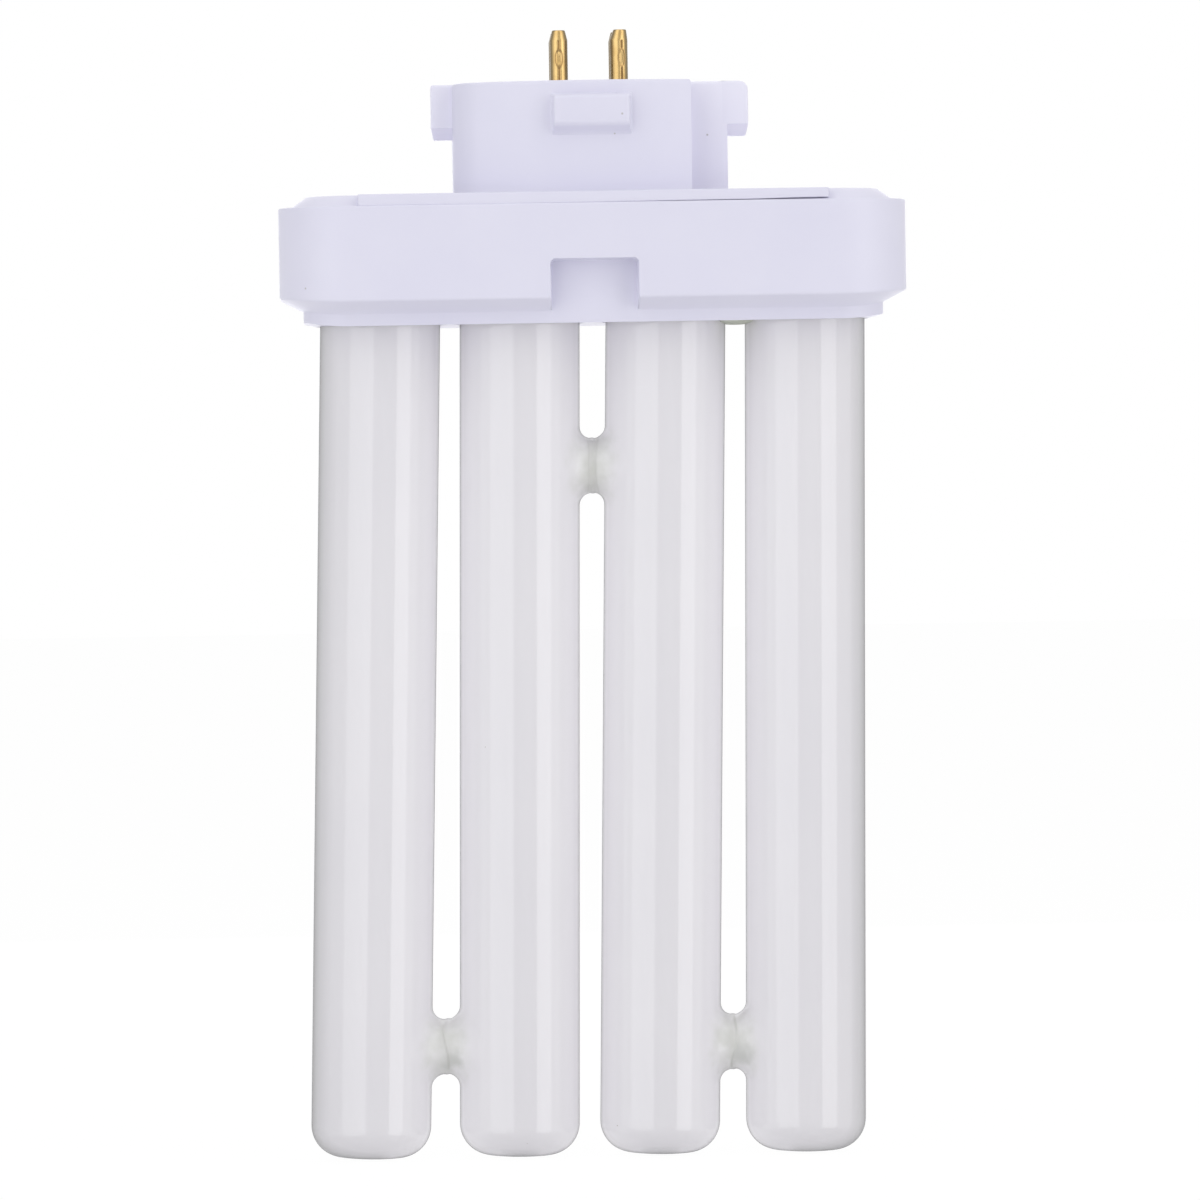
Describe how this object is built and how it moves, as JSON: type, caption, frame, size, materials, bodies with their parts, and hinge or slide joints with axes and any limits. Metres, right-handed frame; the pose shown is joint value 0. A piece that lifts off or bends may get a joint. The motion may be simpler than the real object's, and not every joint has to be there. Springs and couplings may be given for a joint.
{
  "type": "four pin compact fluorescent lamp",
  "caption": "Flat compact fluorescent lamp: parallel joined glass tubes in a wide moulded base with an eared plug and round contact pins for a plug-in lamp holder.",
  "frame": {"origin": "centre of the plug's end face, where the contact pins come out", "axes": "+Z along the contact pins, away from the tubes; X across the row of tubes; the front faces -Y"},
  "size_m": [0.0826, 0.03, 0.1487],
  "materials": {
    "coated_glass": "gloss",
    "base_plastic": "satin",
    "pin_brass": "polished",
    "lead_wire": "satin",
    "cement": "matte"
  },
  "bodies": {
    "root": {"glass": "coated_glass", "base_shell": "base_plastic", "base_cap": "base_plastic", "pin_front_left": "pin_brass", "pin_front_right": "pin_brass", "pin_rear_left": "pin_brass", "pin_rear_right": "pin_brass", "lead_front_left": "lead_wire", "lead_front_right": "lead_wire", "lead_rear_left": "lead_wire", "lead_rear_right": "lead_wire", "cement_far_left": "cement", "cement_mid_left": "cement", "cement_mid_right": "cement", "cement_far_right": "cement"}
  },
  "joints": []
}
